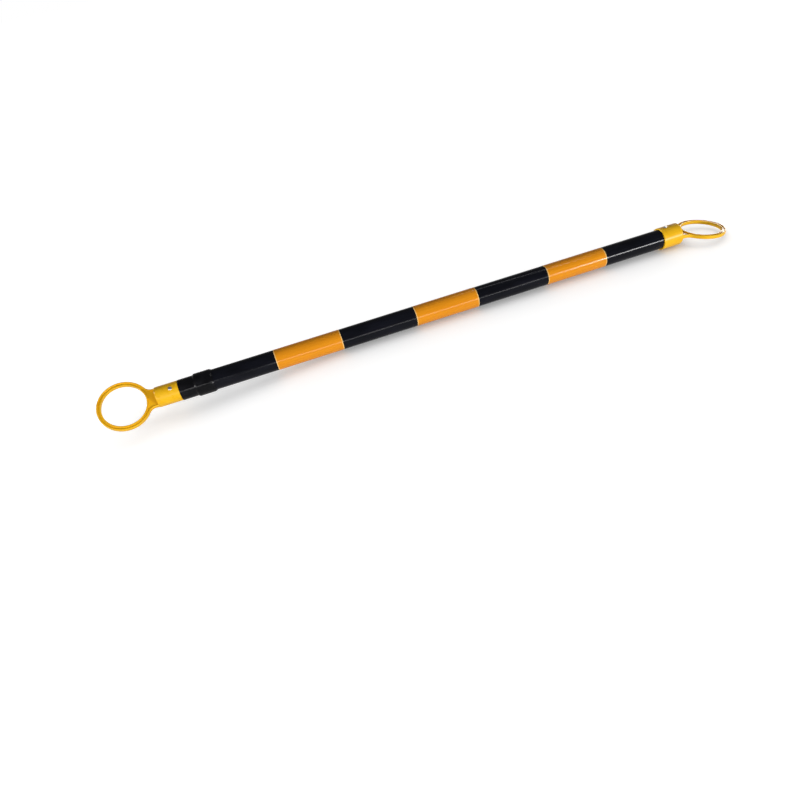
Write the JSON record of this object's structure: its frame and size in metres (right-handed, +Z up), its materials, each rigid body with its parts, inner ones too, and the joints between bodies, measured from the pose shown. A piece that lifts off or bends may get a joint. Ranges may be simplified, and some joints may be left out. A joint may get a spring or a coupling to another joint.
{
  "type": "retractable cone bar",
  "caption": "Telescopic black and yellow barrier bar with a ring at each end that drops over the top of a traffic cone; the inner tube slides out and turns.",
  "frame": {"origin": "middle of the whole bar's box, on the surface that the bar lies on", "axes": "+X along the bar towards the fixed ring, +Z up, out of the fixed ring's riveted side"},
  "size_m": [1.2568, 0.093, 0.0571],
  "materials": {
    "black_tube": "extruded black PVC, glossy",
    "black_bush": "moulded black polypropylene, satin gloss",
    "yellow_moulding": "moulded yellow ABS, satin gloss",
    "yellow_film": "self-adhesive yellow film, glossy",
    "rivet_aluminium": "bright aluminium",
    "mandrel_steel": "broken steel",
    "nylon_ring": "natural nylon",
    "nylon_plug": "natural nylon"
  },
  "bodies": {
    "outer_bar": {"outer_tube": "black_tube", "mouth_bush": "black_bush", "outer_band_1": "yellow_film", "outer_band_2": "yellow_film", "outer_band_3": "yellow_film", "fixed_ring_end": "yellow_moulding", "fixed_rivet": "rivet_aluminium", "fixed_rivet_mandrel": "mandrel_steel"},
    "friction_ring": {"friction_ring": "nylon_ring"},
    "inner_bar": {"inner_tube": "black_tube", "inner_band_1": "yellow_film", "inner_band_2": "yellow_film", "inner_band_3": "yellow_film", "tail_plug": "nylon_plug", "sliding_ring_end": "yellow_moulding", "sliding_rivet": "rivet_aluminium", "sliding_rivet_mandrel": "mandrel_steel"}
  },
  "joints": [
    {"name": "bar_slide", "type": "slide", "parent": "outer_bar", "child": "friction_ring", "axis": [-1, 0, 0], "range_m": [0, 0.836]},
    {"name": "ring_twist", "type": "hinge", "parent": "friction_ring", "child": "inner_bar", "pos_m": [-0.48358, 0, 0.02362], "axis": [1, 0, 0], "continuous": true}
  ]
}
